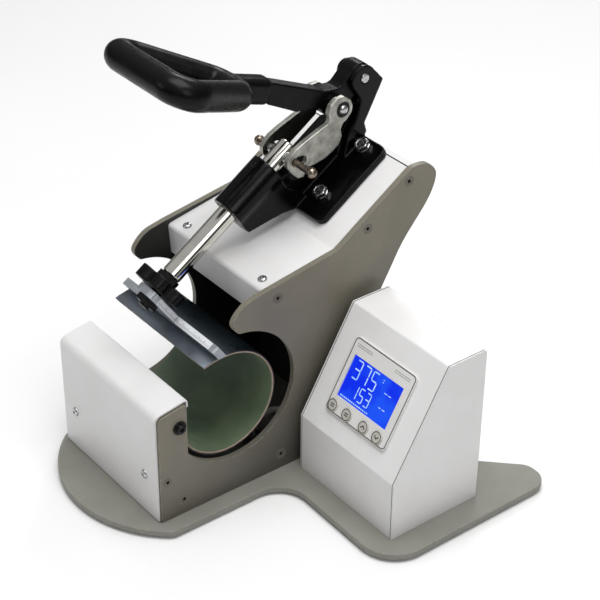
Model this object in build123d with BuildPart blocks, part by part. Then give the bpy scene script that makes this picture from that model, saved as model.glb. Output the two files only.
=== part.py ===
from build123d import *
import math
import os

os.makedirs("parts", exist_ok=True)

# ---------------------------------------------------------------- dimensions
# Layout axes: x across the press (mid plane of the frame at 0), y from the
# front edge of the side plates to the rear, z up from the table.
X0, Y0 = -71.75, -125.55          # shift that puts the origin under the box centre
FOOT_T = 3.0
BASE_T = 5.0
Z_BASE = FOOT_T + BASE_T          # top of the base plate
PLATE_IN, PLATE_T = 67.0, 5.0     # side plates: inner face and thickness
PLATE_OUT = PLATE_IN + PLATE_T
COVER_HALF = 66.8                 # folded covers between the side plates
CUT_C, CUT_R = (75.8, 100.4), 58.5
RING_C = (73.4, 90.7)             # heater wrap axis
R_LINER, R_MAT, R_BAND, R_OUT = 44.6, 45.2, 46.7, 47.3
WRAP_HALF = 63.5                  # wrap is 127 mm long
SLOPE = 34.0                      # angle of the clamp bed
BED = (177.7, 197.3)              # bend line of the clamp bridge
ROD_W = 50.0                      # clamp axis above the bed
ROD_R = 8.5
P0_U, P1_U, P2_U = 121.0, 89.0, 31.0
BARREL_R = 15.0
KNOB_R = 22.5
BOX_X0, BOX_X1 = 81.4, 198.6
BOX_FRONT, BOX_BACK, BOX_TOP = 134.4, 225.2, 153.3
BOX_BEND_Z = 62.1
BOX_TOP_Y = 186.6
SHEET = 1.2
GRIP_R, GRIP_CORE_R = 12.0, 5.0

CS, SN = math.cos(math.radians(SLOPE)), math.sin(math.radians(SLOPE))


def side(x):
    """Plane at layout x, local axes (y, z)."""
    return Plane(origin=(X0 + x, Y0, 0), x_dir=(0, 1, 0), z_dir=(1, 0, 0))


def bed_side(x):
    """Plane at layout x in the clamp frame, local axes (u, w)."""
    return Plane(origin=(X0 + x, Y0 + BED[0], BED[1]), x_dir=(0, CS, SN), z_dir=(1, 0, 0))


def across(u, w=ROD_W):
    """Plane square to the clamp axis at u, centred on height w, local (x, -w)."""
    return Plane(origin=(X0, Y0 + BED[0] + u * CS - w * SN, BED[1] + u * SN + w * CS),
                 x_dir=(1, 0, 0), z_dir=(0, CS, SN))


def bed_top(w):
    """Plane parallel to the clamp bed at height w, local (x, u)."""
    return Plane(origin=(X0, Y0 + BED[0] - w * SN, BED[1] + w * CS),
                 x_dir=(1, 0, 0), z_dir=(0, -SN, CS))


def top(z):
    return Plane(origin=(X0, Y0, z), x_dir=(1, 0, 0), z_dir=(0, 0, 1))


def front(y):
    """Plane at layout y facing the front, local (x, z)."""
    return Plane(origin=(X0, Y0 + y, 0), x_dir=(1, 0, 0), z_dir=(0, -1, 0))


def rear(y):
    """Plane at layout y facing the rear, local (-x, z)."""
    return Plane(origin=(X0, Y0 + y, 0), x_dir=(-1, 0, 0), z_dir=(0, 1, 0))


def near(verts, x, y):
    return min(verts, key=lambda v: (v.X - x) ** 2 + (v.Y - y) ** 2)


def offset_path(pts, t):
    """Points of a polyline moved t to the right of its direction."""
    n = len(pts)
    out = []
    for i in range(n):
        dirs = []
        if i > 0:
            dx, dy = pts[i][0] - pts[i - 1][0], pts[i][1] - pts[i - 1][1]
            length = math.hypot(dx, dy)
            dirs.append((dx / length, dy / length))
        if i < n - 1:
            dx, dy = pts[i + 1][0] - pts[i][0], pts[i + 1][1] - pts[i][1]
            length = math.hypot(dx, dy)
            dirs.append((dx / length, dy / length))
        norms = [(d[1], -d[0]) for d in dirs]
        if len(norms) == 1:
            out.append((pts[i][0] + t * norms[0][0], pts[i][1] + t * norms[0][1]))
        else:
            bx, by = norms[0][0] + norms[1][0], norms[0][1] + norms[1][1]
            k = 2.0 * t / (bx * bx + by * by)
            out.append((pts[i][0] + k * bx, pts[i][1] + k * by))
    return out


def folded(pts, t, r):
    """Section of a folded sheet: outer points, thickness inwards, outer bend radius."""
    inner = offset_path(pts, t)
    with BuildSketch(Plane.XY) as sk:
        with BuildLine() as ln:
            radii = r if isinstance(r, list) else [r] * (len(pts) - 2)
            FilletPolyline(*pts, radius=radii)
            FilletPolyline(*inner, radius=[max(q - t, 0.5) for q in radii])
            Line(pts[0], inner[0])
            Line(pts[-1], inner[-1])
        make_face()
    return sk.sketch


def save(part, name):
    part.label = name
    export_step(part, "parts/" + name + ".step")


SLOPE_A = math.atan2(BOX_TOP - BOX_BEND_Z, BOX_TOP_Y - BOX_FRONT)
TY, TZ = math.cos(SLOPE_A), math.sin(SLOPE_A)


def panel(n):
    """Plane parallel to the sloping display panel, n above it, local (x, t)."""
    return Plane(origin=(X0, Y0 + BOX_FRONT - n * TZ, BOX_BEND_Z + n * TY),
                 x_dir=(1, 0, 0), z_dir=(0, -TZ, TY))


# ---------------------------------------------------------------- base
FEET = [(-52, 2), (60, 2), (-56, 215), (62, 215), (195, 135), (198, 264)]

with BuildPart() as base_plate:
    with BuildSketch(top(FOOT_T)) as base_outline:
        with BuildLine():
            ThreePointArc((-77.5, 3.5), (4.5, -37.5), (86.5, 3.5))
            Polyline((86.5, 3.5), (86.5, 115.0), (221.0, 112.0), (221.0, 288.6),
                     (195.0, 288.6), (150.0, 243.0), (-77.5, 240.0), (-77.5, 3.5))
        make_face()
        for (cx, cy, cr) in [(-77.5, 3.5, 10), (86.5, 3.5, 10), (86.5, 115.0, 27), (221, 112, 33),
                             (221, 288.6, 17), (195, 288.6, 14), (150, 243, 30), (-77.5, 240, 25)]:
            fillet(near(base_outline.vertices(), cx, cy), radius=cr)
    extrude(amount=BASE_T)
    # blind threaded holes, open only below
    with Locations(*[Pos(X0 + a, Y0 + b, FOOT_T + 1.8) for a, b in FEET]):
        Cylinder(2.05, 3.6, mode=Mode.SUBTRACT)
    chamfer(base_plate.edges().group_by(Axis.Z)[-1], length=0.5)
save(base_plate.part, "base_plate")

with BuildPart() as rubber_feet:
    with BuildSketch(top(0)):
        with Locations(*FEET):
            Circle(9.0)
    extrude(amount=FOOT_T)
    with Locations(*[Pos(X0 + a, Y0 + b, FOOT_T / 2) for a, b in FEET]):
        Cylinder(2.05, FOOT_T, mode=Mode.SUBTRACT)
    with Locations(*[Pos(X0 + a, Y0 + b, 0.85) for a, b in FEET]):
        Cylinder(4.4, 1.7, mode=Mode.SUBTRACT)
save(rubber_feet.part, "rubber_feet")

with BuildPart() as foot_screws:
    with BuildSketch(top(0.3)):
        with Locations(*FEET):
            Circle(3.9)
    extrude(amount=1.4)
    with BuildSketch(top(1.7)):
        with Locations(*FEET):
            Circle(2.0)
    extrude(amount=4.7)
    with BuildSketch(top(0.3)):
        with Locations(*FEET):
            RegularPolygon(1.4, 6)
    extrude(amount=0.9, mode=Mode.SUBTRACT)
save(foot_screws.part, "foot_screws")

# ---------------------------------------------------------------- side plates
SIDE_SCREWS = [(8.7, 46.0), (23.8, 22.1), (121.0, 22.4), (117.8, 177.3), (208.0, 208.4), (250.2, 237.7)]
ANCHOR = (21.4, 94.6)
LEAD_HOLE = (150.0, 32.5)


def plate_profile():
    with BuildSketch(Plane.XY) as sk:
        with BuildLine():
            Polyline((204, Z_BASE), (1.7, Z_BASE), (1.7, 109.2), (28.7, 113.8), (28.7, 65.7))
            ThreePointArc((28.7, 65.7), (127.0, 72.2), (80.7, 158.7))
            Spline((80.7, 158.7), (75.5, 164.3), (74.4, 169.0), (77.0, 174.3), (81.9, 179.3),
                   (87.7, 183.0), (93.5, 184.8), (104.1, 187.0))
            Polyline((104.1, 187.0), (177.0, 198.9), (249.2, 247.3))
            Spline((249.2, 247.3), (252.3, 248.8), (261.7, 249.4), (269.4, 247.8), (275.1, 243.3),
                   (278.7, 237.1), (278.3, 229.5), (266.4, 207.6), (253.3, 192.3), (243.2, 178.7),
                   (233.3, 161.2), (223.2, 143.5), (212.0, 115.0), (206.0, 85.0), (204.0, 50.0),
                   (204.0, Z_BASE))
        make_face()
        fillet(near(sk.vertices(), 1.7, 109.2), radius=5.5)
        fillet(near(sk.vertices(), 28.7, 113.8), radius=2)
        with Locations(*SIDE_SCREWS):
            Circle(2.6, mode=Mode.SUBTRACT)
        with Locations(ANCHOR):
            Circle(3.05, mode=Mode.SUBTRACT)
    return sk.sketch


PROFILE = plate_profile()
LEAD_PLATE_R = 6.0

with BuildPart() as right_side_plate:
    with BuildSketch(side(PLATE_IN)):
        add(PROFILE)
        with Locations(LEAD_HOLE):
            Circle(LEAD_PLATE_R, mode=Mode.SUBTRACT)
    extrude(amount=PLATE_T)
    for (a, b) in SIDE_SCREWS:
        with Locations(Plane(origin=(X0 + PLATE_OUT - 1.15, Y0 + a, b), z_dir=(1, 0, 0))):
            Cone(2.6, 4.9, 2.3, mode=Mode.SUBTRACT)
save(right_side_plate.part, "right_side_plate")

with BuildPart() as left_side_plate:
    with BuildSketch(side(-PLATE_OUT)):
        add(PROFILE)
    extrude(amount=PLATE_T)
    for (a, b) in SIDE_SCREWS:
        with Locations(Plane(origin=(X0 - PLATE_OUT + 1.15, Y0 + a, b), z_dir=(-1, 0, 0))):
            Cone(2.6, 4.9, 2.3, mode=Mode.SUBTRACT)
save(left_side_plate.part, "left_side_plate")

with BuildPart() as side_screws:
    for s in (1, -1):
        for (a, b) in SIDE_SCREWS:
            with Locations(Plane(origin=(X0 + s * (PLATE_OUT - 1.2), Y0 + a, b), z_dir=(s, 0, 0))):
                Cone(2.5, 4.7, 2.2)
            with Locations(Plane(origin=(X0 + s * (PLATE_OUT - 7.3), Y0 + a, b), z_dir=(s, 0, 0))):
                Cylinder(2.5, 10.0)
    for s in (1, -1):
        for (a, b) in SIDE_SCREWS:
            with BuildSketch(Plane(origin=(X0 + s * (PLATE_OUT - 0.1), Y0 + a, b), z_dir=(-s, 0, 0))):
                RegularPolygon(1.73, 6)
            extrude(amount=1.9, mode=Mode.SUBTRACT)
save(side_screws.part, "side_screws")

TILT = math.atan2(197.3 - 183.3, 177.7 - 108.1)
with BuildPart() as frame_ties:
    # two round tie bars through the base of the frame
    for (a, b) in SIDE_SCREWS[1:3]:
        with BuildSketch(side(-PLATE_IN)):
            with Locations((a, b)):
                Circle(6.0)
        extrude(amount=2 * PLATE_IN)
    # blocks behind the covers, each taking one side screw
    for s in (1, -1):
        x_lo = 47.0 if s > 0 else -PLATE_IN
        with BuildSketch(side(x_lo)):
            Polygon((1.5, 38), (14, 38), (14, 52), (1.5, 52), align=None)
            Polygon((113.5, 172.3), (122.8, 172.3), (122.8, 183.66), (113.5, 181.79), align=None)
        extrude(amount=20.0)
        with BuildSketch(bed_side(x_lo)):
            with Locations((31.3, -7.6), (82.7, -7.2)):
                Rectangle(11, 10.0)
            Polygon((25, -2.52), (90, -2.52), (90, 5), (25, 5), align=None, mode=Mode.SUBTRACT)
        extrude(amount=20.0)
    for s in (1, -1):
        for (a, b) in SIDE_SCREWS:
            with Locations(Plane(origin=(X0 + s * (PLATE_IN - 4.0), Y0 + a, b), z_dir=(s, 0, 0))):
                Cylinder(2.5, 8.0, mode=Mode.SUBTRACT)
        with Locations(Plane(origin=(X0 + s * 52, Y0 + 5.5, 46.7), z_dir=(0, 1, 0))):
            Cylinder(2.0, 8.0, mode=Mode.SUBTRACT)
        with Locations(Pos(X0 + s * 52, Y0 + 117.6, 180)):
            Cylinder(2.0, 9.0, mode=Mode.SUBTRACT)
save(frame_ties.part, "frame_ties")

# ---------------------------------------------------------------- front cover
# the cover laps over most of the front edge of both side plates
FRONT_PTS = [(0.0, 8.8), (0.0, 111.5), (31.0, 116.8), (31.6, 109.5)]
FRONT_HALF = PLATE_OUT - 2.2
with BuildPart() as front_cover:
    with BuildSketch(side(-FRONT_HALF)):
        add(folded(FRONT_PTS, 1.5, [7.0, 2.0]))
    extrude(amount=2 * FRONT_HALF)
    for s in (1, -1):
        with Locations(Plane(origin=(X0 + s * 52, Y0 + 0.75, 46.7), z_dir=(0, 1, 0))):
            Cylinder(2.1, 6.0, mode=Mode.SUBTRACT)
save(front_cover.part, "front_cover")

# ---------------------------------------------------------------- wrap anchor
with BuildPart() as wrap_anchor_bar:
    with BuildSketch(side(-PLATE_IN)):
        Polygon((14.0, 86.0), (23.6, 86.0), (23.6, 100.5), (21.0, 103.0), (14.0, 103.0), align=None)
    extrude(amount=2 * PLATE_IN)
    with BuildSketch(side(-60)):
        Polygon((23.0, 88.0), (30.0, 88.0), (30.0, 97.0), (23.0, 97.0), align=None)
        with Locations(RING_C):
            Circle(R_OUT, mode=Mode.SUBTRACT)
    extrude(amount=120)
    for s in (1, -1):
        with Locations(Plane(origin=(X0 + s * (PLATE_IN - 5.0), Y0 + ANCHOR[0], ANCHOR[1]), z_dir=(s, 0, 0))):
            Cylinder(2.0, 10.0, mode=Mode.SUBTRACT)
save(wrap_anchor_bar.part, "wrap_anchor_bar")

with BuildPart() as wrap_anchor_bolts:
    for s in (1, -1):
        with Locations(Plane(origin=(X0 + s * (PLATE_OUT + 0.75), Y0 + ANCHOR[0], ANCHOR[1]), z_dir=(s, 0, 0))):
            Cylinder(6.0, 1.5)
        with Locations(Plane(origin=(X0 + s * (PLATE_OUT + 2.75), Y0 + ANCHOR[0], ANCHOR[1]), z_dir=(s, 0, 0))):
            Cylinder(4.4, 2.5)
        with Locations(Plane(origin=(X0 + s * (PLATE_OUT - 2.5), Y0 + ANCHOR[0], ANCHOR[1]), z_dir=(s, 0, 0))):
            Cylinder(3.0, 5.0)
        with Locations(Plane(origin=(X0 + s * (PLATE_OUT - 9.0), Y0 + ANCHOR[0], ANCHOR[1]), z_dir=(s, 0, 0))):
            Cylinder(2.0, 8.0)
save(wrap_anchor_bolts.part, "wrap_anchor_bolts")

# ---------------------------------------------------------------- clamp bridge
BED_END = (BED[0] + 90 * CS, BED[1] + 90 * SN)
BRIDGE_PTS = [(110.3, 155.6), (108.1, 183.3), BED, BED_END]
HEX_U, HEX_X = (32.0, 84.0), (-21.0, 21.0)
with BuildPart() as clamp_bridge:
    with BuildSketch(side(-COVER_HALF)):
        add(folded(BRIDGE_PTS, 2.5, 3.5))
    extrude(amount=2 * COVER_HALF)
    with Locations(*[bed_top(-1.25) * Pos(x, u, 0) for x in HEX_X for u in HEX_U]):
        Cylinder(3.3, 4.0, mode=Mode.SUBTRACT)
    for s in (1, -1):
        with Locations(Pos(X0 + s * 52, Y0 + 117.6, 184)):
            Cylinder(2.1, 10, mode=Mode.SUBTRACT)
save(clamp_bridge.part, "clamp_bridge")



def lip_plane(s, h):
    """Plane on the front bed at the small screws, h above the sheet."""
    n = (0, -math.sin(TILT), math.cos(TILT))
    z_top = 183.3 + (117.6 - 108.1) * math.tan(TILT)
    return Plane(origin=(X0 + s * 52, Y0 + 117.6 + h * n[1], z_top + h * n[2]), x_dir=(1, 0, 0), z_dir=n)


with BuildPart() as cover_screws:
    for s in (1, -1):
        with Locations(Plane(origin=(X0 + s * 52, Y0 - 1.0, 46.7), z_dir=(0, 1, 0))):
            Cylinder(4.0, 2.0)
        with Locations(lip_plane(s, 1.0)):
            Cylinder(4.0, 2.0)
    fillet(cover_screws.edges().filter_by(GeomType.CIRCLE).group_by(Axis.Y)[0], radius=0.8)
    for s in (1, -1):
        with Locations(Plane(origin=(X0 + s * 52, Y0 + 4.2, 46.7), z_dir=(0, 1, 0))):
            Cylinder(2.0, 8.4)
        with Locations(Pos(X0 + s * 52, Y0 + 117.6, 181.4)):
            Cylinder(2.0, 8.2)
        for pl in (Plane(origin=(X0 + s * 52, Y0 - 1.6, 46.7), z_dir=(0, 1, 0)), lip_plane(s, 1.6)):
            with Locations(pl):
                Box(4.4, 0.9, 1.6, mode=Mode.SUBTRACT)
                Box(0.9, 4.4, 1.6, mode=Mode.SUBTRACT)
save(cover_screws.part, "cover_screws")

# ---------------------------------------------------------------- rear cover
with BuildPart() as rear_cover:
    with BuildSketch(side(-COVER_HALF)):
        add(folded([(256.5, 245.6), (266.0, 243.5), (272.5, 231.0), (250.0, 196.0), (229.0, 162.0),
                    (208.0, 116.0), (200.6, 60.0), (200.6, 8.2)], 1.5, 4.0))
    extrude(amount=2 * COVER_HALF)
save(rear_cover.part, "rear_cover")

# ---------------------------------------------------------------- heater wrap
RING_U = (RING_C[0] - BED[0]) * CS + (RING_C[1] - BED[1]) * SN
RING_W = -(RING_C[0] - BED[0]) * SN + (RING_C[1] - BED[1]) * CS
SPLIT_N = 23.0


def ring_sector(r0, r1, moving):
    with BuildSketch(Plane.XY) as sk:
        with Locations((RING_U, RING_W)):
            Circle(r1)
            Circle(r0, mode=Mode.SUBTRACT)
            if moving:
                a = math.radians(83)
                lo = SPLIT_N + 0.15
                Polygon((lo / math.tan(a), lo), (100, lo), (100, 100), (100 / math.tan(a), 100),
                        align=None, mode=Mode.INTERSECT)
            else:
                a = math.radians(136)
                hi = SPLIT_N - 0.15
                Polygon((0, 0), (100 * math.cos(a), 100 * math.sin(a)), (-100 * math.sin(0.7), 120),
                        (120, 120), (120, hi), (0.5, hi), align=None, mode=Mode.SUBTRACT)
    return sk.sketch


with BuildPart() as wrap_band:
    with BuildSketch(bed_side(-WRAP_HALF)):
        add(ring_sector(R_BAND, R_OUT, False))
    extrude(amount=2 * WRAP_HALF)
save(wrap_band.part, "wrap_band")

with BuildPart() as wrap_heater_mat:
    with BuildSketch(bed_side(-WRAP_HALF)):
        add(ring_sector(R_MAT, R_BAND, False))
    extrude(amount=2 * WRAP_HALF)
save(wrap_heater_mat.part, "wrap_heater_mat")

with BuildPart() as wrap_liner:
    with BuildSketch(bed_side(-WRAP_HALF + 1)):
        add(ring_sector(R_LINER, R_MAT, False))
    extrude(amount=2 * WRAP_HALF - 2)
save(wrap_liner.part, "wrap_liner")

with BuildPart() as flap_band:
    with BuildSketch(bed_side(-WRAP_HALF)):
        add(ring_sector(R_BAND, R_OUT, True))
    extrude(amount=2 * WRAP_HALF)
save(flap_band.part, "flap_band")

with BuildPart() as flap_heater_mat:
    with BuildSketch(bed_side(-WRAP_HALF)):
        add(ring_sector(R_MAT, R_BAND, True))
    extrude(amount=2 * WRAP_HALF)
save(flap_heater_mat.part, "flap_heater_mat")

with BuildPart() as flap_liner:
    with BuildSketch(bed_side(-WRAP_HALF + 1)):
        add(ring_sector(R_LINER, R_MAT, True))
    extrude(amount=2 * WRAP_HALF - 2)
save(flap_liner.part, "flap_liner")

# ---------------------------------------------------------------- pressure bar
BAR_U0, BAR_U1, BAR_W = RING_U + 19.0, RING_U + 25.6, 23.0
with BuildPart() as pressure_bar:
    with BuildSketch(bed_side(-WRAP_HALF - 2)):
        Polygon((BAR_U0, 8), (BAR_U1, 8), (BAR_U1, BAR_W), (BAR_U0, BAR_W), align=None)
        with Locations((RING_U, RING_W)):
            Circle(R_OUT, mode=Mode.SUBTRACT)
    extrude(amount=2 * WRAP_HALF + 4)
    fillet(pressure_bar.edges().filter_by(lambda e: abs(e.length - (BAR_U1 - BAR_U0)) < 0.02).sort_by(Axis.X)[:1], radius=3)
    fillet(pressure_bar.edges().filter_by(lambda e: abs(e.length - (BAR_U1 - BAR_U0)) < 0.02).sort_by(Axis.X)[-1:], radius=3)
save(pressure_bar.part, "pressure_bar")

with BuildPart() as scale_strip:
    with BuildSketch(bed_top(BAR_W)):
        with Locations((34.9, (BAR_U0 + BAR_U1) / 2)):
            Rectangle(47.0, 6.2)
    extrude(amount=0.5)
save(scale_strip.part, "scale_strip")

# upright tab of the bar that the adjusting stud passes through
with BuildPart() as thrust_bracket:
    with BuildSketch(across(BAR_U0, BAR_W)) as tab:
        with Locations((0, -19.5)):
            Rectangle(22, 39)
        fillet(tab.vertices().group_by(Axis.Z)[-1], radius=6)
        with Locations((0, -(ROD_W - BAR_W))):
            Circle(5.02, mode=Mode.SUBTRACT)
    extrude(amount=BAR_U1 - BAR_U0)
save(thrust_bracket.part, "thrust_bracket")

# ---------------------------------------------------------------- knob and rod
KNOB_U0, KNOB_U1 = -118.8, -107.7
with BuildPart() as pressure_knob:
    with BuildSketch(across(KNOB_U0)) as knob_outline:
        Circle(15.5)
        with PolarLocations(15.0, 5, start_angle=18):
            Circle(7.5)
        fillet([v for v in knob_outline.vertices() if math.hypot(v.X, v.Y) < 30], radius=3.0)
        Circle(5.05, mode=Mode.SUBTRACT)
    extrude(amount=KNOB_U1 - KNOB_U0)
save(pressure_knob.part, "pressure_knob")

with BuildPart() as adjuster_nuts:
    for u in (KNOB_U1 + 0.2, BAR_U0 - 5.2):
        with BuildSketch(across(u)):
            RegularPolygon(10.0, 6)
            Circle(5.0, mode=Mode.SUBTRACT)
        extrude(amount=5.2)
save(adjuster_nuts.part, "adjuster_nuts")

with BuildPart() as adjuster_stud:
    with BuildSketch(across(-134.5)):
        Circle(5.0)
    extrude(amount=134.5 - 102.0)
    chamfer(adjuster_stud.edges().sort_by(Axis.Y)[:1], length=1.0)
save(adjuster_stud.part, "adjuster_stud")

with BuildPart() as plunger_rod:
    with BuildSketch(across(-102.0)):
        Circle(ROD_R)
    extrude(amount=102.0 + 41.0)
    chamfer(plunger_rod.edges().filter_by(GeomType.CIRCLE), length=1.0)
    with Locations(Plane(origin=bed_side(0).from_local_coords(Vector(P2_U, ROD_W, 0)), z_dir=(1, 0, 0))):
        Cylinder(3.0, 30, mode=Mode.SUBTRACT)
save(plunger_rod.part, "plunger_rod")


def pivot(u, x=0.0):
    o = bed_side(x).from_local_coords(Vector(u, ROD_W, 0))
    return Plane(origin=(o.X, o.Y, o.Z), x_dir=(0, CS, SN), z_dir=(1, 0, 0))


with BuildPart() as cross_pin:
    with Locations(pivot(P2_U, 5.5)):
        Cylinder(3.0, 69.0)
    with Locations(pivot(P2_U, -29.0), pivot(P2_U, 40.0)):
        Sphere(4.5)
save(cross_pin.part, "cross_pin")

with BuildPart() as pin_sleeves:
    with Locations(pivot(P2_U, 11.2), pivot(P2_U, -11.2)):
        Cylinder(5.0, 5.0)
        Cylinder(3.0, 5.0, mode=Mode.SUBTRACT)
save(pin_sleeves.part, "pin_sleeves")

# ---------------------------------------------------------------- clamp casting
with BuildPart() as clamp_base:
    with BuildSketch(bed_top(0)) as flange:
        with Locations((0, 52.0)):
            Rectangle(84, 82)
        fillet(flange.vertices(), radius=7)
    extrude(amount=6.1)
    with BuildSketch(bed_side(-5)):
        Polygon((-33.0, 40), (-32.7, 24.5), (-18.0, 15.8), (-4.1, 9.0), (11.2, 2.5), (20, 2.5), (92, 5.0),
                (97, 7.5), (99.5, 15.7), (125, 29.2), (125, 33), (100, 35.5), (15.4, 35.5), (15.4, 40), align=None)
    extrude(amount=10)
    with BuildSketch(bed_side(-10)):
        Polygon((-33.0, 42), (-32.7, 26.5), (-18.0, 20), (-4.1, 14.0), (11.2, 4), (24, 4), (15.4, 30),
                (15.4, 42), align=None)
    extrude(amount=20)
    with BuildSketch(bed_side(-13.3)) as ears:
        with BuildLine():
            Polyline((107.9, 50.0), (107.9, 36.0), (96.0, 26.0), (82.0, 20.0), (66.0, 5.0), (92.0, 5.0),
                     (97.0, 7.5), (99.5, 15.7), (134.0, 34.0), (131.8, 50.0))
            ThreePointArc((131.8, 50.0), (121.0, 61.3), (107.9, 50.0))
        make_face()
    extrude(amount=26.6)
    with BuildSketch(bed_side(-8.2)):
        Polygon((90, 34.6), (150, 34.6), (150, 80), (90, 80), align=None)
    extrude(amount=16.4, mode=Mode.SUBTRACT)
    with BuildSketch(bed_side(-13.4)):
        Polygon((104, 38), (136, 38), (136, 70), (104, 70), align=None)
        with BuildLine():
            Polyline((109.0, 38.0), (112.6, 50.0))
            ThreePointArc((112.6, 50.0), (121.0, 58.4), (129.4, 50.0))
            Polyline((129.4, 50.0), (133.0, 38.0), (109.0, 38.0))
        make_face(mode=Mode.SUBTRACT)
    extrude(amount=5.3, mode=Mode.SUBTRACT)
    with BuildSketch(across(-33.3)):
        Circle(BARREL_R)
    extrude(amount=33.3 + 15.5)
    with BuildSketch(across(-34)):
        Circle(10.5)
    extrude(amount=52, mode=Mode.SUBTRACT)
    with BuildSketch(bed_side(-9.2)):
        Polygon((15.5, 35.7), (78, 35.7), (78, 60), (15.5, 60), align=None)
    extrude(amount=18.4, mode=Mode.SUBTRACT)
    with Locations(*[bed_top(3.0) * Pos(x, u, 0) for x in HEX_X for u in HEX_U]):
        Cylinder(3.3, 8.0, mode=Mode.SUBTRACT)
    with Locations(pivot(P0_U)):
        Cylinder(4.0, 40.0, mode=Mode.SUBTRACT)
    with Locations(bed_top(ROD_W + 13.0) * Pos(0, 8.0, 0)):
        Cylinder(2.0, 6.0, mode=Mode.SUBTRACT)
save(clamp_base.part, "clamp_base")

with BuildPart() as barrel_bush:
    with BuildSketch(across(-33.3)):
        Circle(10.5)
        Circle(ROD_R + 0.05, mode=Mode.SUBTRACT)
    extrude(amount=48.8)
save(barrel_bush.part, "barrel_bush")

with BuildPart() as barrel_set_screw:
    with Locations(bed_top(ROD_W + 12.7) * Pos(0, 8.0, 0)):
        Cylinder(2.0, 4.3)
    with BuildSketch(bed_top(ROD_W + 14.9) * Pos(0, 8.0, 0)):
        RegularPolygon(1.1, 6)
    extrude(amount=-1.5, mode=Mode.SUBTRACT)
save(barrel_set_screw.part, "barrel_set_screw")

SPOTS = [(x, u) for x in HEX_X for u in HEX_U]
with BuildPart() as clamp_washers:
    with BuildSketch(bed_top(6.1)):
        with Locations(*SPOTS):
            Circle(6.25)
            Circle(3.3, mode=Mode.SUBTRACT)
    extrude(amount=1.4)
save(clamp_washers.part, "clamp_washers")

with BuildPart() as clamp_bolts:
    with BuildSketch(bed_top(7.5)):
        with Locations(*SPOTS):
            RegularPolygon(6.6, 6)
    extrude(amount=4.4)
    with BuildSketch(bed_top(7.5)):
        with Locations(*SPOTS):
            Circle(3.17)
    extrude(amount=-16.5)
    with BuildSketch(bed_top(11.9)):
        with Locations(*SPOTS):
            Circle(4.2)
    extrude(amount=-0.6, mode=Mode.SUBTRACT)
save(clamp_bolts.part, "clamp_bolts")

with BuildPart() as clamp_nuts:
    with BuildSketch(bed_top(-2.5)):
        with Locations(*SPOTS):
            RegularPolygon(6.6, 6)
            Circle(3.17, mode=Mode.SUBTRACT)
    extrude(amount=-5.2)
save(clamp_nuts.part, "clamp_nuts")

# ---------------------------------------------------------------- handle
LOOP_A = math.radians(25.5)
GO = (140.3 - 3.3 * math.sin(LOOP_A), 324.4 - 3.3 * math.cos(LOOP_A))
# loop plane: local x across, local y forward and up along the loop
LOOP = Plane(origin=(X0, Y0 + GO[0], GO[1]), x_dir=(1, 0, 0),
             z_dir=(0, math.sin(LOOP_A), math.cos(LOOP_A)))


def loop_path():
    """Closed centre line of the grip, local y pointing to the front."""
    pts = [(-15.5, -15.5), (15.5, -15.5), (51.0, -97.7), (-51.0, -97.7)]
    return pts


def grip_solid(r):
    pts = loop_path()
    with BuildPart() as g:
        with BuildLine(LOOP) as path:
            FilletPolyline(*pts, radius=13.5, close=True)
        start = path.line @ 0.0
        tang = path.line % 0.0
        with BuildSketch(Plane(origin=start, z_dir=tang)):
            Circle(r)
        sweep(path=path.line)
    return g.part


CORE = grip_solid(GRIP_CORE_R)
TUBE = grip_solid(GRIP_R)

with BuildPart() as handle_lever:
    with BuildSketch(side(-7.8)):
        with BuildLine():
            Polyline((157.0, 327.5), (194.1, 311.5), (213.0, 303.4), (232.0, 301.0), (226.0, 283.0),
                     (214.0, 283.0), (208.0, 290.0), (196.0, 291.5), (185.3, 293.0), (174.3, 298.9),
                     (156.6, 308.1), (157.0, 327.5))
        make_face()
    extrude(amount=15.6)
    with BuildSketch(bed_side(-7.8)):
        with Locations((P0_U, ROD_W)):
            Circle(11.0)
        with Locations((P1_U, ROD_W)):
            Circle(11.0)
        Polygon((P1_U, ROD_W - 10.9), (P0_U, ROD_W - 10.9), (P0_U, ROD_W + 10.9), (P1_U + 14, ROD_W + 8.0),
                (P1_U, ROD_W + 12), align=None)
    extrude(amount=15.6)
    add(CORE)
    # tongue that joins the lever to the steel core of the loop
    with BuildSketch(side(-5)):
        Polygon((126.0, 331.5), (158.0, 322.6), (158.0, 312.4), (126.0, 322.5), align=None)
    extrude(amount=10)
    for u in (P0_U, P1_U):
        with Locations(pivot(u)):
            Cylinder(4.05 if u == P0_U else 4.0, 40.0, mode=Mode.SUBTRACT)
save(handle_lever.part, "handle_lever")

with BuildPart() as handle_grip:
    add(TUBE)
    # collar moulded over the front end of the lever
    with BuildSketch(Plane(origin=(X0, Y0 + 157.3, 318.2), x_dir=(1, 0, 0), z_dir=(0, -0.955, 0.297))):
        RectangleRounded(20.0, 22.0, 6.5)
    extrude(amount=32.0)
    add(CORE, mode=Mode.SUBTRACT)
    add(handle_lever.part, mode=Mode.SUBTRACT)
save(handle_grip.part, "handle_grip")

with BuildPart() as handle_pivot_pin:
    with Locations(pivot(P0_U)):
        Cylinder(4.0, 29.0)
    chamfer(handle_pivot_pin.edges().filter_by(GeomType.CIRCLE), length=0.9)
save(handle_pivot_pin.part, "handle_pivot_pin")

with BuildPart() as link_pin:
    with Locations(pivot(P1_U)):
        Cylinder(4.0, 43.0)
    fillet(link_pin.edges().filter_by(GeomType.CIRCLE), radius=2.0)
save(link_pin.part, "link_pin")

with BuildPart() as link_spacers:
    with Locations(pivot(P1_U, 10.9), pivot(P1_U, -10.9)):
        Cylinder(7.0, 6.0)
        Cylinder(4.0, 6.0, mode=Mode.SUBTRACT)
save(link_spacers.part, "link_spacers")

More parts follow.
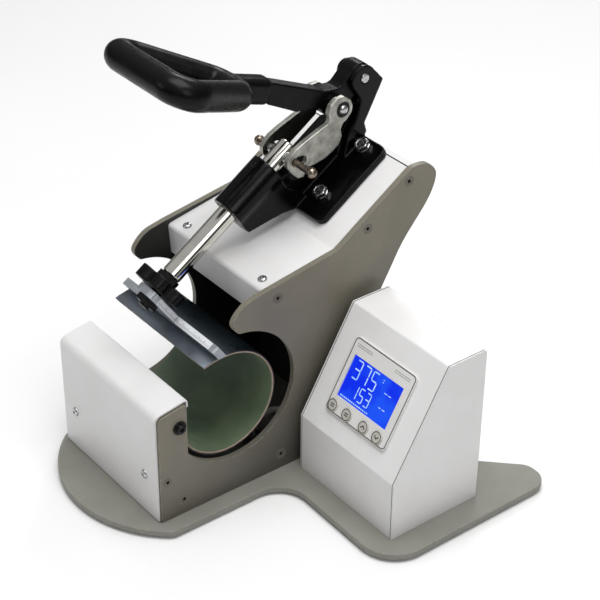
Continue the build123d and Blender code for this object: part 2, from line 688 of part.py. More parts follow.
# ---------------------------------------------------------------- links
LINK_OUT = [(25.9, 56.3), (32, 58.3), (37.1, 58.7), (47, 57.3), (57.5, 54.9), (71.2, 51.6), (74.5, 52.9),
            (76.7, 58.3), (81.9, 62.6), (89.4, 62.9), (96.3, 58.6), (99.0, 51.3), (97.5, 45.1), (93.9, 41.3),
            (86.6, 39.4), (81.9, 39.7), (77.6, 36.9), (75.3, 31.4), (68.8, 27.1), (61.3, 26.8), (52.4, 28.2),
            (42.6, 32.2), (37.5, 35.3), (29.3, 32.3), (25.0, 35.1), (23.1, 43.2), (22.9, 51.8)]
# travel of the cross pin inside the link eye, from the closed pivot
PIN_PATH = [(0.0, 0.0), (2.04, -0.7), (3.69, -1.51), (4.95, -2.37), (5.84, -3.23), (6.38, -4.03),
            (6.58, -4.72), (6.48, -5.25), (6.11, -5.66), (5.52, -5.76), (4.74, -5.58), (3.84, -5.11),
            (2.86, -4.24), (1.86, -3.14), (0.89, -1.73)]


LINK_FAR = [(p[0], max(p[1], 37.0)) if 36 < p[0] < 76 else p for p in LINK_OUT]


def link_solid(x0, outline):
    with BuildPart() as lk:
        with BuildSketch(bed_side(x0)):
            with BuildLine():
                Polyline(*outline, close=True)
            make_face()
        extrude(amount=5.0)
        with BuildSketch(bed_side(x0 - 1)):
            with Locations(*[(P2_U + a, ROD_W + b) for a, b in PIN_PATH]):
                Circle(3.25)
            Polygon(*[(P2_U + a, ROD_W + b) for a, b in PIN_PATH], align=None)
            with Locations((P1_U, ROD_W)):
                Circle(6.5)
        extrude(amount=7.0, mode=Mode.SUBTRACT)
    return lk.part


with BuildPart() as link_right:
    add(link_solid(14.0, LINK_OUT))
save(link_right.part, "link_right")

with BuildPart() as link_left:
    add(link_solid(-19.0, LINK_FAR))
save(link_left.part, "link_left")

with BuildPart() as link_bushes:
    with Locations(pivot(P1_U, 16.5), pivot(P1_U, -16.5)):
        Cylinder(6.5, 5.0)
        Cylinder(4.05, 5.0, mode=Mode.SUBTRACT)
save(link_bushes.part, "link_bushes")

# ---------------------------------------------------------------- control box
BOX_PTS = [(BOX_FRONT, Z_BASE + 0.1), (BOX_FRONT, BOX_BEND_Z), (BOX_TOP_Y, BOX_TOP), (BOX_BACK, BOX_TOP),
           (BOX_BACK, Z_BASE + 0.1)]
BTN_X, BTN_T = (110.1, 127.5, 148.3, 164.9), 24.7
LCD = (108.8, 168.5, 33.3, 70.2)
BEZEL = (102.7, 176.8, 18.2, 84.4)
INLET, SWITCH, FUSE = (112.0, 40.0), (150.0, 40.0), (178.0, 40.0)
with BuildPart() as control_cover:
    with BuildSketch(side(BOX_X0 + 1.8)):
        add(folded(BOX_PTS, SHEET, 2.4))
    extrude(amount=BOX_X1 - BOX_X0 - 3.6)
    with BuildSketch(panel(5)):
        with Locations(((LCD[0] + LCD[1]) / 2, (LCD[2] + LCD[3]) / 2)):
            Rectangle(LCD[1] - LCD[0], LCD[3] - LCD[2])
        with Locations(*[(x, BTN_T) for x in BTN_X]):
            Circle(5.75)
    extrude(amount=-9, mode=Mode.SUBTRACT)
    with Locations(Pos(X0 + INLET[0], Y0 + BOX_BACK, INLET[1]), ):
        Box(27.2, 8, 20.2, mode=Mode.SUBTRACT)
    with Locations(Pos(X0 + SWITCH[0], Y0 + BOX_BACK, SWITCH[1])):
        Box(19.2, 8, 13.2, mode=Mode.SUBTRACT)
    with Locations(Plane(origin=(X0 + FUSE[0], Y0 + BOX_BACK, FUSE[1]), z_dir=(0, 1, 0))):
        Cylinder(6.1, 8, mode=Mode.SUBTRACT)
save(control_cover.part, "control_cover")


def side_panel(x_lo, hole):
    with BuildPart() as sp:
        with BuildSketch(side(x_lo)) as o:
            with BuildLine():
                Polyline((BOX_FRONT, Z_BASE), (BOX_FRONT, BOX_BEND_Z), (BOX_TOP_Y, BOX_TOP),
                         (BOX_BACK, BOX_TOP), (BOX_BACK, Z_BASE), close=True)
            make_face()
            for (a, b) in [(BOX_FRONT, BOX_BEND_Z), (BOX_TOP_Y, BOX_TOP), (BOX_BACK, BOX_TOP)]:
                fillet(near(o.vertices(), a, b), radius=2.4)
            if hole:
                with Locations(LEAD_HOLE):
                    Circle(LEAD_PLATE_R, mode=Mode.SUBTRACT)
        extrude(amount=SHEET)
    return sp.part


with BuildPart() as control_side_left:
    add(side_panel(BOX_X0, True))
save(control_side_left.part, "control_side_left")
with BuildPart() as control_side_right:
    add(side_panel(BOX_X1 - SHEET, False))
save(control_side_right.part, "control_side_right")

with BuildPart() as display_bezel:
    with BuildSketch(panel(0)) as bz:
        with Locations(((BEZEL[0] + BEZEL[1]) / 2, (BEZEL[2] + BEZEL[3]) / 2)):
            RectangleRounded(BEZEL[1] - BEZEL[0], BEZEL[3] - BEZEL[2], 4)
        with Locations(((LCD[0] + LCD[1]) / 2, (LCD[2] + LCD[3]) / 2)):
            Rectangle(LCD[1] - LCD[0], LCD[3] - LCD[2], mode=Mode.SUBTRACT)
        with Locations(*[(x, BTN_T) for x in BTN_X]):
            Circle(5.75, mode=Mode.SUBTRACT)
    extrude(amount=2.0)
save(display_bezel.part, "display_bezel")

with BuildPart() as lcd_window:
    with BuildSketch(panel(-8.3)):
        with Locations(((LCD[0] + LCD[1]) / 2, (LCD[2] + LCD[3]) / 2)):
            Rectangle(LCD[1] - LCD[0] - 0.2, LCD[3] - LCD[2] - 0.2)
    extrude(amount=9.3)
save(lcd_window.part, "lcd_window")

for i, bx in enumerate(BTN_X):
    with BuildPart() as button:
        with BuildSketch(panel(-3.4)):
            with Locations((bx, BTN_T)):
                Circle(6.6)
        extrude(amount=0.8)
        with BuildSketch(panel(-3.4)):
            with Locations((bx, BTN_T)):
                Circle(5.7)
        extrude(amount=6.6)
        fillet(button.edges().filter_by(GeomType.CIRCLE).sort_by(Axis.Z)[-1:], radius=0.8)
    save(button.part, "button_%d" % (i + 1))

with BuildPart() as control_board:
    with BuildSketch(panel(-9.9)):
        with Locations((139.0, 50.0)):
            Rectangle(98, 76)
    extrude(amount=1.6)
    with BuildSketch(panel(-8.3)):
        with Locations(*[(x, BTN_T) for x in BTN_X]):
            Rectangle(6, 6)
    extrude(amount=3.6)
    with BuildSketch(panel(-9.9)):
        with Locations((100, 82), (178, 82)):
            Rectangle(12, 8)
    extrude(amount=-7.0)
save(control_board.part, "control_board")

with BuildPart() as board_posts:
    with BuildSketch(panel(-8.3)):
        with Locations((94, 16), (184, 16), (94, 84), (184, 84)):
            Circle(3.0)
    extrude(amount=8.3 - SHEET)
save(board_posts.part, "board_posts")

with BuildPart() as relay_module:
    with Locations(Pos(X0 + 118, Y0 + 180, Z_BASE + 14)):
        Box(45, 32, 28)
    fillet(relay_module.edges().filter_by(Axis.Z), radius=2)
save(relay_module.part, "relay_module")

with BuildPart() as mains_inlet:
    with Locations(Pos(X0 + INLET[0], Y0 + BOX_BACK + 1.0, INLET[1])):
        Box(31, 2.0, 24)
    with Locations(Pos(X0 + INLET[0], Y0 + BOX_BACK - 7.0, INLET[1])):
        Box(27, 14.0, 20)
    with Locations(Pos(X0 + INLET[0], Y0 + BOX_BACK - 4.0, INLET[1])):
        Box(24, 13.0, 16.5, mode=Mode.SUBTRACT)
    for (dx, dz) in ((-7, -2), (7, -2), (0, 2)):
        with Locations(Pos(X0 + INLET[0] + dx, Y0 + BOX_BACK - 6.5, INLET[1] + dz)):
            Box(2, 9.0, 4)
save(mains_inlet.part, "mains_inlet")

ROCK_Y = BOX_BACK - 0.5
ROCK_AXIS = Pos(X0 + SWITCH[0], Y0 + ROCK_Y - 1.0, SWITCH[1])
with BuildPart() as power_switch_body:
    with Locations(Pos(X0 + SWITCH[0], Y0 + BOX_BACK + 0.75, SWITCH[1])):
        Box(21, 1.5, 15)
    with Locations(Pos(X0 + SWITCH[0], Y0 + BOX_BACK - 6.0, SWITCH[1])):
        Box(19, 12.0, 13)
    with Locations(Pos(X0 + SWITCH[0], Y0 + BOX_BACK - 2.75, SWITCH[1])):
        Box(16, 8.5, 10, mode=Mode.SUBTRACT)
    with Locations(ROCK_AXIS):
        Cylinder(1.2, 12.2, mode=Mode.SUBTRACT)
save(power_switch_body.part, "power_switch_body")

with BuildPart() as power_rocker:
    with BuildSketch(Plane(origin=(X0 + SWITCH[0], Y0 + ROCK_Y, SWITCH[1] - 4.85), x_dir=(1, 0, 0), z_dir=(0, 0, 1))):
        with BuildLine():
            Polyline((-7.1, 1.2), (-7.0, 3.0), (0.0, 1.6), (6.8, 0.4), (7.1, -1.6), (0.0, -4.0), (-7.1, 1.2))
        make_face()
    extrude(amount=9.7)
    with Locations(ROCK_AXIS):
        Cylinder(1.15, 12.0)
save(power_rocker.part, "power_rocker")

with BuildPart() as fuse_holder:
    with Locations(Plane(origin=(X0 + FUSE[0], Y0 + BOX_BACK + 2.5, FUSE[1]), z_dir=(0, 1, 0))):
        Cylinder(8.0, 5.0)
        Box(10, 1.4, 5.2, mode=Mode.SUBTRACT)
    with Locations(Plane(origin=(X0 + FUSE[0], Y0 + BOX_BACK - 10.0, FUSE[1]), z_dir=(0, 1, 0))):
        Cylinder(6.0, 20.0)
save(fuse_holder.part, "fuse_holder")

# ---------------------------------------------------------------- heater lead
with BuildPart() as heater_lead:
    with BuildLine(Plane.XY) as lead_path:
        FilletPolyline((X0 + 30, Y0 + RING_C[0], 43.3), (X0 + 30, Y0 + RING_C[0], 32.5), (X0 + 30, Y0 + 150, 32.5),
                       (X0 + 118, Y0 + 150, 32.5), (X0 + 118, Y0 + 163.9, 32.5), radius=8)
    with BuildSketch(Plane(origin=lead_path.line @ 0.0, z_dir=lead_path.line % 0.0)):
        Circle(3.0)
    sweep(path=lead_path.line)
save(heater_lead.part, "heater_lead")

with BuildPart() as lead_grommets:
    for x, t in ((PLATE_IN + PLATE_T / 2, PLATE_T), (BOX_X0 + SHEET / 2, SHEET)):
        with Locations(Plane(origin=(X0 + x, Y0 + LEAD_HOLE[0], LEAD_HOLE[1]), z_dir=(1, 0, 0))):
            Cylinder(LEAD_PLATE_R, t)
        for s in (1, -1):
            with Locations(Plane(origin=(X0 + x + s * (t / 2 + 0.6), Y0 + LEAD_HOLE[0], LEAD_HOLE[1]), z_dir=(1, 0, 0))):
                Cylinder(8.0, 1.2)
    with Locations(Plane(origin=(X0 + 76, Y0 + LEAD_HOLE[0], LEAD_HOLE[1]), z_dir=(1, 0, 0))):
        Cylinder(3.0, 40, mode=Mode.SUBTRACT)
save(lead_grommets.part, "lead_grommets")
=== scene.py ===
import bpy, bmesh, math, random
from mathutils import Vector, Matrix, noise

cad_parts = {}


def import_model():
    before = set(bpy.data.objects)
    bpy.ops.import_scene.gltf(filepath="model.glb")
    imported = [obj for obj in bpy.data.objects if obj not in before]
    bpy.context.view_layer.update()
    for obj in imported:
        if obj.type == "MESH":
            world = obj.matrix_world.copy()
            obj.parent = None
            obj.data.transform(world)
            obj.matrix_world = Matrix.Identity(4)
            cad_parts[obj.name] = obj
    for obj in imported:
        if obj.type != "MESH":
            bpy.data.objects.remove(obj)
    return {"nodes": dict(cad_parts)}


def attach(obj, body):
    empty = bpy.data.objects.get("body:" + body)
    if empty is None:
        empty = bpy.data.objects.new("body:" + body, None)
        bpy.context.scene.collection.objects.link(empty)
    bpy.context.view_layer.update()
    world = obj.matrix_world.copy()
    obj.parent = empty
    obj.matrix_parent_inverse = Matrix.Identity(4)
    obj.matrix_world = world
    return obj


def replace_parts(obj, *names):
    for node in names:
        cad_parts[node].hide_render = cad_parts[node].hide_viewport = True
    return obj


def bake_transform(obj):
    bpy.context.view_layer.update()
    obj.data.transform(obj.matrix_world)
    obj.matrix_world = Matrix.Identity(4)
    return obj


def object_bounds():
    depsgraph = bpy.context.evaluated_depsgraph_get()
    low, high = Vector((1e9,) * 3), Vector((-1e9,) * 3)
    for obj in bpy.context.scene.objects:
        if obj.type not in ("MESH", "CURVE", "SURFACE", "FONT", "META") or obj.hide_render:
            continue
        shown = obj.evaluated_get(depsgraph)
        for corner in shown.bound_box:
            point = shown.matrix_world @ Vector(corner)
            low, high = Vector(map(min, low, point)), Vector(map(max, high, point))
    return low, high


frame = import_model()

nodes = frame["nodes"]
lo0, hi0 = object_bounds()
random.seed(7)

X0, Y0 = -71.75, -125.55
CS, SN = math.cos(math.radians(34)), math.sin(math.radians(34))
RING_Y, RING_Z = 73.4, 90.7


def V(x, y, z):
    """Layout millimetres to the row frame in metres."""
    return Vector(((x + X0) / 1000, (y + Y0) / 1000, z / 1000))


def UW(u, w, x=0.0):
    """Clamp frame (u along the clamp axis, w above the bed) to the row frame."""
    return V(x, 177.7 + u * CS - w * SN, 197.3 + u * SN + w * CS)


SA = math.atan2(153.3 - 62.1, 186.6 - 134.4)
TY, TZ = math.cos(SA), math.sin(SA)


def PN(x, t, n):
    """Point on the sloping display panel: across, up the slope, out of it."""
    return V(x, 134.4 + t * TY - n * TZ, 62.1 + t * TZ + n * TY)


# ------------------------------------------------------------------ materials
def lin(c):
    return tuple(((v / 255) / 12.92 if v / 255 <= 0.04045 else (((v / 255) + 0.055) / 1.055) ** 2.4) for v in c)


class Mat:
    def __init__(self, name):
        self.m = bpy.data.materials.new(name)
        self.m.use_nodes = True
        self.nt = self.m.node_tree
        self.nt.nodes.clear()
        self.out = self.n("ShaderNodeOutputMaterial")
        self.b = self.n("ShaderNodeBsdfPrincipled")
        self.link(self.b.outputs[0], self.out.inputs[0])
        self.co = self.n("ShaderNodeTexCoord").outputs["Object"]

    def n(self, kind, **kw):
        node = self.nt.nodes.new(kind)
        for k, v in kw.items():
            setattr(node, k, v)
        return node

    def link(self, a, b):
        self.nt.links.new(a, b)

    def noise(self, scale, detail=3.0, rough=0.55, stretch=None, distort=0.0):
        t = self.n("ShaderNodeTexNoise")
        t.inputs["Scale"].default_value = scale
        t.inputs["Detail"].default_value = detail
        t.inputs["Roughness"].default_value = rough
        t.inputs["Distortion"].default_value = distort
        if stretch:
            mp = self.n("ShaderNodeMapping")
            mp.inputs["Scale"].default_value = stretch
            if len(stretch) > 3:
                pass
            self.link(self.co, mp.inputs["Vector"])
            self.link(mp.outputs[0], t.inputs["Vector"])
        else:
            self.link(self.co, t.inputs["Vector"])
        return t.outputs["Fac"]

    def ramp(self, fac, a, b, lo=0.3, hi=0.7):
        r = self.n("ShaderNodeMapRange")
        r.inputs["From Min"].default_value = lo
        r.inputs["From Max"].default_value = hi
        r.inputs["To Min"].default_value = a
        r.inputs["To Max"].default_value = b
        self.link(fac, r.inputs["Value"])
        return r.outputs[0]

    def mix(self, fac, a, b):
        mx = self.n("ShaderNodeMix", data_type="RGBA")
        for i, v in ((0, fac), (6, a), (7, b)):
            if isinstance(v, (int, float)):
                mx.inputs[i].default_value = v
            elif isinstance(v, tuple):
                mx.inputs[i].default_value = (*v, 1)
            else:
                self.link(v, mx.inputs[i])
        return mx.outputs[2]

    def math(self, op, a, b=0.0):
        mt = self.n("ShaderNodeMath", operation=op)
        for i, v in ((0, a), (1, b)):
            if isinstance(v, (int, float)):
                mt.inputs[i].default_value = v
            else:
                self.link(v, mt.inputs[i])
        return mt.outputs[0]


def surface(name, base, var=None, var_scale=40.0, var_amt=0.5, rough=0.4, rough_var=0.1, rough_scale=120.0,
            metal=0.0, bumps=(), edge=0.0005, wear=None, wear_amt=0.0, wear_metal=None, stretch=None,
            coat=0.0, coat_rough=0.1, spec=0.5, dirt=0.0, sheen=0.0, emission=None, painted_inner_shade=None, painted_shade_drift=None):
    """Procedural finish: uneven colour, uneven gloss, fine bump, softened and rubbed edges, and optional painted shade
    along one axis and on faces that look one way.
    """
    M = Mat(name)
    b = M.b
    col = M.mix(M.ramp(M.noise(var_scale, 4.0), 0.0, var_amt, 0.35, 0.7), base, var or tuple(c * 0.85 for c in base))
    if dirt:
        col = M.mix(M.ramp(M.noise(var_scale * 0.35, 6.0, 0.7), 0.0, dirt, 0.5, 0.75), col, tuple(c * 0.6 for c in base))
    if painted_shade_drift:                       # painted shade: colour that changes slowly along one axis of the object, towards a darker shade
        axis, p0, p1, shade_tone = painted_shade_drift
        dv = M.n("ShaderNodeVectorMath", operation="DOT_PRODUCT")
        M.link(M.co, dv.inputs[0])
        dv.inputs[1].default_value = axis
        col = M.mix(M.ramp(M.math("ADD", dv.outputs["Value"], M.math("MULTIPLY", M.noise(14.0), 0.01)), 0.0, 1.0, p0, p1), col, shade_tone)
    if painted_inner_shade:                       # painted shade: faces that look one way, such as into the frame, are darkened
        axis, shade_tone, amt = painted_inner_shade
        tc = M.n("ShaderNodeTexCoord")
        dn = M.n("ShaderNodeVectorMath", operation="DOT_PRODUCT")
        if axis == "ends":
            ab = M.n("ShaderNodeVectorMath", operation="ABSOLUTE")
            M.link(tc.outputs["Normal"], ab.inputs[0])
            M.link(ab.outputs[0], dn.inputs[0])
            axis = (1, 0, 0)
        else:
            M.link(tc.outputs["Normal"], dn.inputs[0])
        dn.inputs[1].default_value = axis
        col = M.mix(M.ramp(dn.outputs["Value"], 0.0, amt, 0.30, 0.48), col, shade_tone)
    r = M.ramp(M.noise(rough_scale, 3.0, stretch=stretch), rough - rough_var, rough + rough_var, 0.3, 0.7)
    bev = M.n("ShaderNodeBevel", samples=4)
    bev.inputs["Radius"].default_value = edge
    nrm = bev.outputs[0]
    for (scale, strength, dist) in bumps:
        bp = M.n("ShaderNodeBump")
        bp.inputs["Strength"].default_value = strength
        bp.inputs["Distance"].default_value = dist
        M.link(M.noise(scale, 3.0, stretch=stretch), bp.inputs["Height"])
        M.link(nrm, bp.inputs["Normal"])
        nrm = bp.outputs[0]
    M.link(nrm, b.inputs["Normal"])
    if wear:
        bw = M.n("ShaderNodeBevel", samples=4)
        bw.inputs["Radius"].default_value = edge * 1.6
        g = M.n("ShaderNodeNewGeometry")
        dp = M.n("ShaderNodeVectorMath", operation="DOT_PRODUCT")
        M.link(bw.outputs[0], dp.inputs[0])
        M.link(g.outputs["Normal"], dp.inputs[1])
        mask = M.ramp(dp.outputs["Value"], 1.0, 0.0, 0.82, 0.985)
        brk = M.ramp(M.noise(260.0, 4.0, 0.7), 0.0, 1.0, 0.42, 0.6)
        mask = M.math("MULTIPLY", M.math("MULTIPLY", mask, brk), wear_amt)
        col = M.mix(mask, col, wear)
        if wear_metal is not None:
            M.link(M.math("ADD", M.math("MULTIPLY", mask, wear_metal), metal), b.inputs["Metallic"])
    if wear_metal is None or not wear:
        b.inputs["Metallic"].default_value = metal
    M.link(col, b.inputs["Base Color"])
    M.link(r, b.inputs["Roughness"])
    b.inputs["Specular IOR Level"].default_value = spec
    b.inputs["Coat Weight"].default_value = coat
    b.inputs["Coat Roughness"].default_value = coat_rough
    if sheen:
        b.inputs["Sheen Weight"].default_value = sheen
    if emission:
        M.link(col, b.inputs["Emission Color"])
        b.inputs["Emission Strength"].default_value = emission
    return M.m


# near-black painted shade for faces that look into the frame
INSIDE_SHADE = lin((30, 32, 33))
# plate paint with painted shade: darker towards the bottom and the rear of each plate
PLATE = dict(base=lin((124, 119, 106)), var=lin((112, 107, 94)), var_scale=30, var_amt=0.6, rough=0.42, rough_var=0.07, rough_scale=300,
             bumps=((1400, 0.25, 0.00012), (220, 0.10, 0.0003)), edge=0.0007, wear=lin((168, 166, 156)), wear_amt=0.75,
             dirt=0.12, spec=0.4, painted_shade_drift=((0, -0.45, 0.89), 0.125, 0.020, lin((82, 80, 74))))
# left and right plates: painted shade makes their faces that look into the frame near black
GREY_L = surface("grey_plate_paint_left_inside_shade", painted_inner_shade=((1, 0, 0), INSIDE_SHADE, 0.9), **PLATE)
GREY_R = surface("grey_plate_paint_right_inside_shade", painted_inner_shade=((-1, 0, 0), INSIDE_SHADE, 0.9), **PLATE)
SCREW = surface("painted_screw", lin((108, 104, 93)), lin((92, 88, 78)), 200, 0.6, 0.45, 0.08, 400,
                bumps=((1400, 0.2, 0.0001),), edge=0.0003, wear=lin((150, 148, 140)), wear_amt=0.5, spec=0.35)
GREY_BASE = surface("grey_base_paint", lin((139, 138, 130)), lin((125, 125, 117)), 22, 0.7, 0.50, 0.08, 300,
                    bumps=((1400, 0.25, 0.00012), (180, 0.10, 0.0003)), edge=0.0009, wear=lin((178, 178, 170)), wear_amt=0.6,
                    dirt=0.14, spec=0.20)
COVER = dict(base=lin((228, 227, 227)), var=lin((221, 220, 219)), var_scale=26, var_amt=0.7, rough=0.38, rough_var=0.06,
             rough_scale=260, bumps=((1100, 0.18, 0.0001),), edge=0.0006, wear=lin((172, 170, 165)), wear_amt=0.5, dirt=0.06, spec=0.4)
WHITE = surface("white_cover_paint", **COVER)
# painted shade on the white covers: near black on faces that look down and back under the lips, on the control cover's
# ends, on the inward faces of the box sides and on the front-facing faces of the rear cover
WHITE_FRONT = surface("white_front_paint_underside_shade", painted_inner_shade=((0, 0.5, -0.866), lin((24, 24, 24)), 0.95), **COVER)
WHITE_BOX = surface("white_box_paint_end_shade", painted_inner_shade=("ends", lin((30, 29, 28)), 0.9), **COVER)
WHITE_SIDE_L = surface("white_box_side_left_inside_shade", painted_inner_shade=((1, 0, 0), lin((30, 29, 28)), 0.9), **COVER)
WHITE_SIDE_R = surface("white_box_side_right_inside_shade", painted_inner_shade=((-1, 0, 0), lin((30, 29, 28)), 0.9), **COVER)
WHITE_BRIDGE = surface("white_bridge_paint_underside_shade", painted_inner_shade=((0, 0.5, -0.866), lin((22, 22, 22)), 0.95), **COVER)
WHITE_REAR = surface("white_rear_paint_inside_shade", painted_inner_shade=((0, -1, 0), lin((20, 20, 20)), 0.95), **COVER)
CAST = surface("black_casting_gloss", lin((3, 3, 4)), lin((7, 7, 8)), 60, 0.6, 0.20, 0.07, 90,
               bumps=((240, 0.20, 0.0005), (900, 0.10, 0.0002)), edge=0.0011, wear=lin((30, 30, 32)), wear_amt=0.25, coat=0.0,
               spec=0.17)
LEVER = surface("black_lever_satin", lin((4, 4, 4)), lin((9, 9, 9)), 60, 0.6, 0.30, 0.08, 120,
                bumps=((320, 0.22, 0.0004), (1000, 0.12, 0.0002)), edge=0.0012, wear=lin((30, 30, 32)), wear_amt=0.25, spec=0.14)
OXIDE = surface("black_oxide_steel", lin((12, 12, 13)), lin((24, 23, 22)), 200, 0.6, 0.30, 0.1, 400, metal=0.3,
                bumps=((1600, 0.15, 0.0001),), edge=0.0003, wear=lin((110, 110, 112)), wear_amt=0.4, wear_metal=0.4, spec=0.3)
# dark lining for the side screw sockets: painted shade in the hex recesses
SOCKET = surface("socket_painted_shade", lin((6, 6, 6)), lin((12, 12, 12)), 300, 0.6, 0.6, 0.1, 500, bumps=((1600, 0.1, 0.0001),),
                 edge=0.0002, spec=0.1)
ZINC = surface("bright_zinc", lin((198, 199, 202)), lin((168, 168, 166)), 160, 0.7, 0.24, 0.1, 500, metal=1.0,
               bumps=((1800, 0.12, 0.00006),), edge=0.0002, wear=lin((235, 235, 238)), wear_amt=0.3)
LINKM = surface("link_dull_zinc", lin((186, 186, 178)), lin((136, 136, 128)), 120, 0.9, 0.38, 0.12, 260, metal=0.8,
                bumps=((420, 0.35, 0.0003), (1500, 0.2, 0.0001)), edge=0.0008, wear=lin((226, 226, 222)), wear_amt=0.7)
# far link: a shaded copy of the near link; painted shade makes its +x face near black and its rubbed edges dimmer
LINKF = surface("link_dull_zinc_far_shaded", lin((186, 186, 178)), lin((136, 136, 128)), 120, 0.9, 0.38, 0.12, 260, metal=0.8,
                bumps=((420, 0.35, 0.0003), (1500, 0.2, 0.0001)), edge=0.0008, wear=lin((190, 190, 184)), wear_amt=0.3,
                painted_inner_shade=((1, 0, 0), lin((34, 36, 30)), 0.88))
TINT = surface("tarnished_pin", lin((150, 138, 126)), lin((104, 92, 80)), 260, 0.8, 0.26, 0.1, 500, metal=1.0,
               bumps=((1500, 0.15, 0.00008),), edge=0.0002)
CHROME = surface("hard_chrome", lin((226, 224, 216)), lin((206, 204, 196)), 90, 0.5, 0.07, 0.03, 60, metal=1.0,
                 bumps=((2600, 0.03, 0.00003),), edge=0.0002, stretch=None)
BARM = surface("bar_plain_steel", lin((182, 187, 193)), lin((154, 159, 165)), 120, 0.7, 0.36, 0.1, 300, metal=0.7,
               bumps=((900, 0.2, 0.0001),), edge=0.0005)
BRONZE = surface("sintered_bronze", lin((70, 58, 44)), lin((44, 36, 28)), 300, 0.7, 0.42, 0.1, 600, metal=0.8,
                 bumps=((2200, 0.3, 0.0001),), edge=0.0003)
# wrap band steel with painted shade: darker towards the rear of the ring
BAND = surface("wrap_band_steel_rear_shade", lin((134, 142, 151)), lin((104, 112, 121)), 26, 0.8, 0.34, 0.1, 60, metal=0.8,
               bumps=((60, 0.12, 0.0008), (1100, 0.12, 0.0001)), edge=0.0003,
               painted_shade_drift=((0, 1, 0), -0.066, -0.040, lin((52, 62, 68))))
REDLINE = surface("wrap_bond_line", lin((84, 50, 58)), lin((58, 38, 46)), 160, 0.7, 0.6, 0.08, 300,
                  bumps=((900, 0.3, 0.0002),), edge=0.0002)
MATM = surface("wrap_heater_silicone", lin((176, 160, 142)), lin((140, 122, 106)), 120, 0.7, 0.55, 0.08, 300,
               bumps=((700, 0.35, 0.0002),), edge=0.0003)
LINER = surface("wrap_liner_silicone", lin((96, 112, 84)), lin((54, 76, 58)), 16, 1.0, 0.52, 0.1, 80,
                bumps=((34, 0.35, 0.0012), (900, 0.18, 0.0001)), edge=0.0003, dirt=0.25, sheen=0.15)
RUBBER = surface("matte_black_rubber", lin((24, 24, 24)), lin((36, 35, 34)), 200, 0.6, 0.62, 0.08, 400,
                 bumps=((1800, 0.3, 0.0001),), edge=0.0004)
GRIP = surface("satin_grip_rubber", lin((5, 5, 5)), lin((10, 10, 10)), 70, 0.7, 0.30, 0.08, 110,
               bumps=((1500, 0.20, 0.00012), (160, 0.16, 0.0004)), edge=0.0006, dirt=0.0, spec=0.16)
KNOB = surface("knob_phenolic", lin((5, 5, 6)), lin((11, 11, 12)), 120, 0.6, 0.30, 0.08, 200,
               bumps=((700, 0.2, 0.0002),), edge=0.0009, wear=lin((36, 36, 36)), wear_amt=0.25, spec=0.16)
DARK = surface("dark_moulded_plastic", lin((26, 26, 28)), lin((38, 38, 40)), 120, 0.5, 0.46, 0.06, 300,
               bumps=((1500, 0.25, 0.0001),), edge=0.0004)
PANEL = surface("light_panel_film", lin((222, 221, 219)), lin((214, 213, 210)), 40, 0.6, 0.36, 0.05, 240,
                bumps=((1600, 0.2, 0.00006),), edge=0.0005)
BUTTON = surface("button_film_grey", lin((190, 187, 179)), lin((176, 173, 165)), 200, 0.6, 0.42, 0.06, 400,
                 bumps=((1600, 0.2, 0.00006),), edge=0.0005, wear=lin((210, 208, 202)), wear_amt=0.3)
# dark ink for the rules and button marks, also used for the painted shade line round the bezel
INK = surface("panel_ink_and_edge_shade", lin((40, 37, 32)), lin((54, 51, 46)), 300, 0.5, 0.5, 0.06, 500,
              bumps=((1600, 0.1, 0.00004),), edge=0.0001)
# white of the scale strip, also used for the painted highlight patch on the tab's right face
STRIP = surface("scale_strip_and_tab_highlight_white", lin((232, 234, 236)), lin((214, 218, 222)), 140, 0.6, 0.34, 0.06, 300,
                bumps=((1200, 0.1, 0.00005),), edge=0.0002)
TICK = surface("scale_tick_ink", lin((70, 78, 88)), lin((96, 104, 112)), 500, 0.5, 0.5, 0.05, 500,
               bumps=((1600, 0.1, 0.00003),), edge=0.0001)
BOARD = surface("board_solder_mask", lin((26, 88, 48)), lin((18, 66, 36)), 200, 0.6, 0.35, 0.06, 300,
                bumps=((1200, 0.2, 0.0001),), edge=0.0003)
NYLON = surface("nylon_post", lin((214, 212, 200)), lin((196, 194, 182)), 200, 0.6, 0.45, 0.06, 300,
                bumps=((1200, 0.2, 0.0001),), edge=0.0003)
LEADM = surface("silicone_lead_sleeve", lin((206, 204, 194)), lin((184, 182, 172)), 120, 0.6, 0.5, 0.06, 300,
                bumps=((900, 0.25, 0.0001),), edge=0.0003)


def glow(name, a, b, black, strength, scale):
    """Backlit film: the colour comes from the light behind it, with a faint cell grid."""
    M = Mat(name)
    c = M.mix(M.ramp(M.noise(scale, 2.0), 0.0, 1.0, 0.35, 0.65), lin(a), lin(b))
    px = M.n("ShaderNodeTexVoronoi")
    px.inputs["Scale"].default_value = 2600.0
    M.link(M.co, px.inputs["Vector"])
    c = M.mix(M.ramp(px.outputs["Distance"], 0.12, 0.0, 0.0, 0.5), c, lin(black))
    M.link(c, M.b.inputs["Emission Color"])
    M.b.inputs["Emission Strength"].default_value = strength
    M.link(M.mix(0.93, c, (0.0, 0.0, 0.0)), M.b.inputs["Base Color"])
    M.b.inputs["Specular IOR Level"].default_value = 0.06
    M.link(M.ramp(M.noise(300.0), 0.28, 0.40), M.b.inputs["Roughness"])
    bp = M.n("ShaderNodeBump")
    bp.inputs["Strength"].default_value = 0.05
    bp.inputs["Distance"].default_value = 0.0001
    M.link(M.noise(400.0), bp.inputs["Height"])
    M.link(bp.outputs[0], M.b.inputs["Normal"])
    return M.m


def lcd_material():
    return glow("lcd_backlit_blue", (16, 48, 236), (30, 84, 244), (10, 30, 190), 0.95, 42.0)


def digit_material():
    return glow("lcd_digit_light", (146, 196, 255), (196, 224, 255), (120, 170, 250), 0.95, 150.0)


LCDM, DIGIT = lcd_material(), digit_material()

